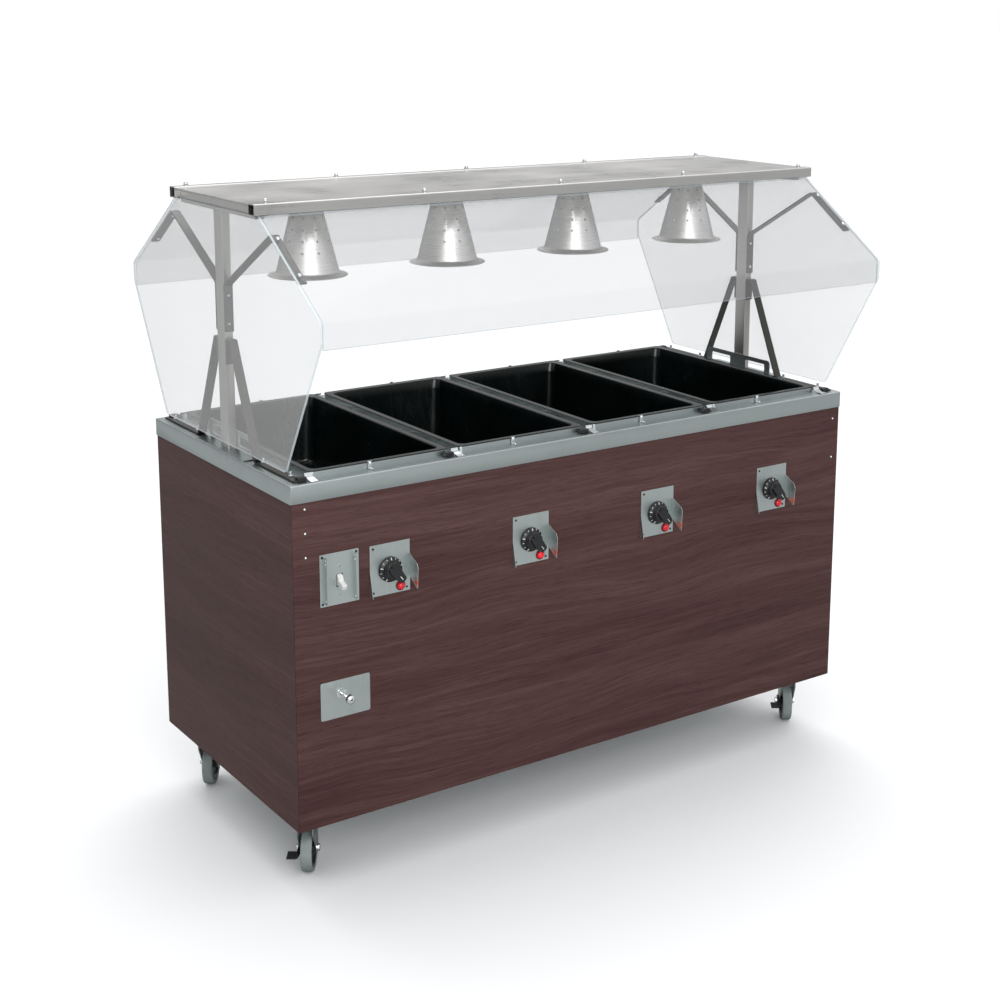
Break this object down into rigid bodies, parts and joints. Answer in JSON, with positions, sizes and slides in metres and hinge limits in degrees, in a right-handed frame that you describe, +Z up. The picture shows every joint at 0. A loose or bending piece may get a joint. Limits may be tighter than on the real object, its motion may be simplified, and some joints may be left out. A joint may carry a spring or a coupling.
{
  "type": "steam table unit",
  "caption": "Rolling steam table: heated wells in a woodgrain cabinet, under a clear breath guard, an overshelf and heat lamps.",
  "frame": {"origin": "middle of the footprint, on the floor that the casters stand on", "axes": "+X along the countertop's length towards the end away from the power switch, +Y from the control side to the rear, +Z up"},
  "size_m": [1.524, 0.93, 1.46],
  "materials": {
    "stainless_steel": "satin brushed sheet, faint straight grain",
    "woodgrain_laminate": "dark reddish brown woodgrain laminate, horizontal grain, satin",
    "black_thermoset": "black with a green cast, semi-gloss, worn paler edges",
    "clear_acrylic": "clear polished sheet, slight grey tint",
    "strip_steel": "dark mill-finish bent strip, satin",
    "spun_aluminium": "bright spun, fine circular grain",
    "black_plastic": "satin moulded",
    "white_plastic": "satin moulded",
    "chrome": "polished plate",
    "zinc_plate": "zinc plated pressed steel",
    "grey_tread": "matt grey-green tread",
    "brass_pipe": "dull, unpolished"
  },
  "bodies": {
    "cabinet": {"bottom_pan": "stainless_steel", "control_box": "stainless_steel", "control_plate_1": "stainless_steel", "control_plate_2": "stainless_steel", "control_plate_3": "stainless_steel", "control_plate_4": "stainless_steel", "countertop": "stainless_steel", "drain_manifold": "brass_pipe", "drain_plate": "stainless_steel", "end_guard_left": "clear_acrylic", "end_guard_right": "clear_acrylic", "front_guard": "clear_acrylic", "front_panel": "woodgrain_laminate", "guard_arm_left_front": "strip_steel", "guard_arm_left_rear": "strip_steel", "guard_arm_right_front": "strip_steel", "guard_arm_right_rear": "strip_steel", "guard_brace_left_front": "strip_steel", "guard_brace_left_rear": "strip_steel", "guard_brace_right_front": "strip_steel", "guard_brace_right_rear": "strip_steel", "heater_1": "zinc_plate", "heater_2": "zinc_plate", "heater_3": "zinc_plate", "heater_4": "zinc_plate", "lamp_raceway": "stainless_steel", "lamp_shade_1": "spun_aluminium", "lamp_shade_2": "spun_aluminium", "lamp_shade_3": "spun_aluminium", "lamp_shade_4": "spun_aluminium", "left_end_panel": "woodgrain_laminate", "overshelf": "stainless_steel", "post_left": "stainless_steel", "post_right": "stainless_steel", "power_inlet": "black_plastic", "rear_guard": "clear_acrylic", "rear_panel": "woodgrain_laminate", "right_end_panel": "woodgrain_laminate", "switch_plate": "stainless_steel", "well_1": "black_thermoset", "well_2": "black_thermoset", "well_3": "black_thermoset", "well_4": "black_thermoset"},
    "power_switch": {"power_switch": "white_plastic"},
    "drain_knob": {"drain_knob": "chrome"},
    "thermostat_knob_1": {"thermostat_knob_1": "black_plastic"},
    "thermostat_knob_2": {"thermostat_knob_2": "black_plastic"},
    "thermostat_knob_3": {"thermostat_knob_3": "black_plastic"},
    "thermostat_knob_4": {"thermostat_knob_4": "black_plastic"},
    "caster_fork_front_left": {"caster_fork_front_left": "zinc_plate"},
    "caster_fork_front_right": {"caster_fork_front_right": "zinc_plate"},
    "caster_fork_rear_left": {"caster_fork_rear_left": "zinc_plate"},
    "caster_fork_rear_right": {"caster_fork_rear_right": "zinc_plate"},
    "caster_wheel_front_left": {"caster_wheel_front_left": "grey_tread"},
    "caster_wheel_front_right": {"caster_wheel_front_right": "grey_tread"},
    "caster_wheel_rear_left": {"caster_wheel_rear_left": "grey_tread"},
    "caster_wheel_rear_right": {"caster_wheel_rear_right": "grey_tread"},
    "caster_brake_front_left": {"caster_brake_front_left": "black_plastic"},
    "caster_brake_front_right": {"caster_brake_front_right": "black_plastic"}
  },
  "joints": [
    {"name": "power_switch_throw", "type": "hinge", "parent": "cabinet", "child": "power_switch", "pos_m": [-0.655, -0.3367, 0.686], "axis": [1, 0, 0], "range_deg": [-48, 0]},
    {"name": "drain_valve_turn", "type": "hinge", "parent": "cabinet", "child": "drain_knob", "pos_m": [-0.655, -0.341, 0.438], "axis": [0, 1, 0], "range_deg": [0, 90]},
    {"name": "thermostat_1_turn", "type": "hinge", "parent": "cabinet", "child": "thermostat_knob_1", "pos_m": [-0.53625, -0.3425, 0.686], "axis": [0, 1, 0], "range_deg": [0, 270]},
    {"name": "thermostat_2_turn", "type": "hinge", "parent": "cabinet", "child": "thermostat_knob_2", "pos_m": [-0.17875, -0.3425, 0.686], "axis": [0, 1, 0], "range_deg": [0, 270]},
    {"name": "thermostat_3_turn", "type": "hinge", "parent": "cabinet", "child": "thermostat_knob_3", "pos_m": [0.17875, -0.3425, 0.686], "axis": [0, 1, 0], "range_deg": [0, 270]},
    {"name": "thermostat_4_turn", "type": "hinge", "parent": "cabinet", "child": "thermostat_knob_4", "pos_m": [0.53625, -0.3425, 0.686], "axis": [0, 1, 0], "range_deg": [0, 270]},
    {"name": "caster_front_left_swivel", "type": "hinge", "parent": "cabinet", "child": "caster_fork_front_left", "pos_m": [-0.7, -0.255, 0.14], "axis": [0, 0, 1], "continuous": true},
    {"name": "caster_front_left_roll", "type": "hinge", "parent": "caster_fork_front_left", "child": "caster_wheel_front_left", "pos_m": [-0.68237, -0.23073, 0.0508], "axis": [-0.809, 0.5878, 0], "continuous": true},
    {"name": "caster_front_left_brake", "type": "hinge", "parent": "caster_fork_front_left", "child": "caster_brake_front_left", "pos_m": [-0.68237, -0.23073, 0.0508], "axis": [-0.809, 0.5878, 0], "range_deg": [-18, 12]},
    {"name": "caster_front_right_swivel", "type": "hinge", "parent": "cabinet", "child": "caster_fork_front_right", "pos_m": [0.7, -0.255, 0.14], "axis": [0, 0, 1], "continuous": true},
    {"name": "caster_front_right_roll", "type": "hinge", "parent": "caster_fork_front_right", "child": "caster_wheel_front_right", "pos_m": [0.71763, -0.23073, 0.0508], "axis": [-0.809, 0.5878, 0], "continuous": true},
    {"name": "caster_front_right_brake", "type": "hinge", "parent": "caster_fork_front_right", "child": "caster_brake_front_right", "pos_m": [0.71763, -0.23073, 0.0508], "axis": [-0.809, 0.5878, 0], "range_deg": [-18, 12]},
    {"name": "caster_rear_left_swivel", "type": "hinge", "parent": "cabinet", "child": "caster_fork_rear_left", "pos_m": [-0.7, 0.255, 0.14], "axis": [0, 0, 1], "continuous": true},
    {"name": "caster_rear_left_roll", "type": "hinge", "parent": "caster_fork_rear_left", "child": "caster_wheel_rear_left", "pos_m": [-0.68237, 0.27927, 0.0508], "axis": [-0.809, 0.5878, 0], "continuous": true},
    {"name": "caster_rear_right_swivel", "type": "hinge", "parent": "cabinet", "child": "caster_fork_rear_right", "pos_m": [0.7, 0.255, 0.14], "axis": [0, 0, 1], "continuous": true},
    {"name": "caster_rear_right_roll", "type": "hinge", "parent": "caster_fork_rear_right", "child": "caster_wheel_rear_right", "pos_m": [0.71763, 0.27927, 0.0508], "axis": [-0.809, 0.5878, 0], "continuous": true}
  ]
}
